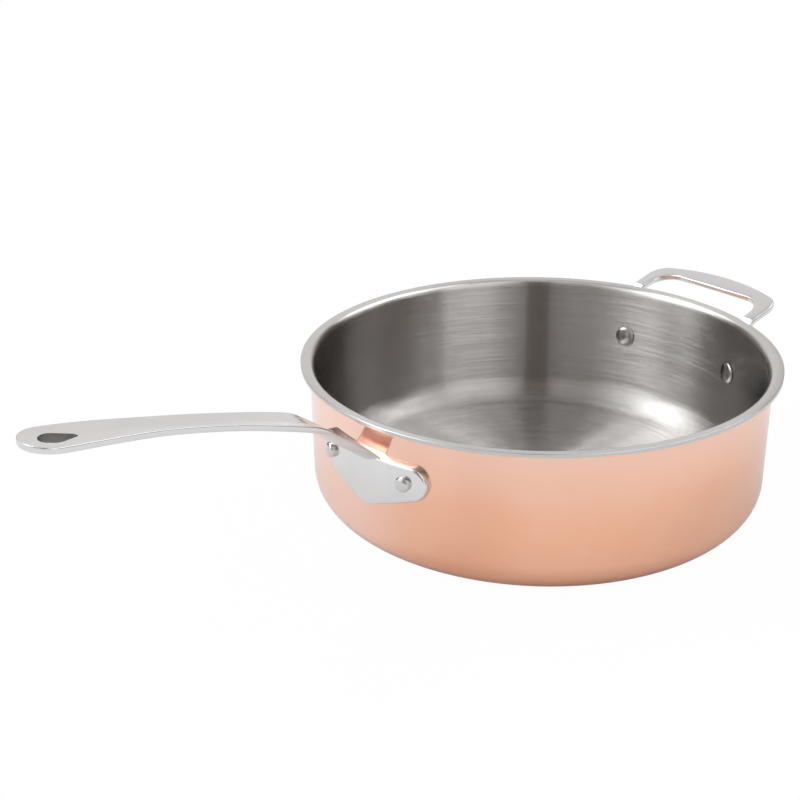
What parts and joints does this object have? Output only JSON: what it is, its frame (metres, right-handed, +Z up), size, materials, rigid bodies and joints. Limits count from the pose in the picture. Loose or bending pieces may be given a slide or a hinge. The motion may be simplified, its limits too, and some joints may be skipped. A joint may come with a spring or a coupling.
{
  "type": "saute pan",
  "caption": "Straight-sided copper saute pan with a steel lining and a rolled pouring rim, a long riveted handle with a hanging hole and a short riveted helper handle.",
  "frame": {"origin": "centre of the underside of the base, where the pan's axis meets the surface it stands on", "axes": "+Z up along the pan's axis; -X towards the long handle's tip, +X towards the helper handle; the length over both handles lies along X"},
  "size_m": [0.5246, 0.2964, 0.1431],
  "materials": {
    "polished_copper": null,
    "core_aluminium": "bare cut edge",
    "brushed_steel": "brushed in circles round the pan's axis",
    "cast_steel": "cast stainless steel, finely polished",
    "rivet_steel": "polished stainless steel"
  },
  "bodies": {
    "root": {"copper_shell": "polished_copper", "aluminium_core": "core_aluminium", "steel_lining": "brushed_steel", "long_handle": "cast_steel", "helper_handle": "cast_steel", "long_handle_rivet_left": "rivet_steel", "long_handle_rivet_right": "rivet_steel", "helper_handle_rivet_left": "rivet_steel", "helper_handle_rivet_right": "rivet_steel"}
  },
  "joints": []
}
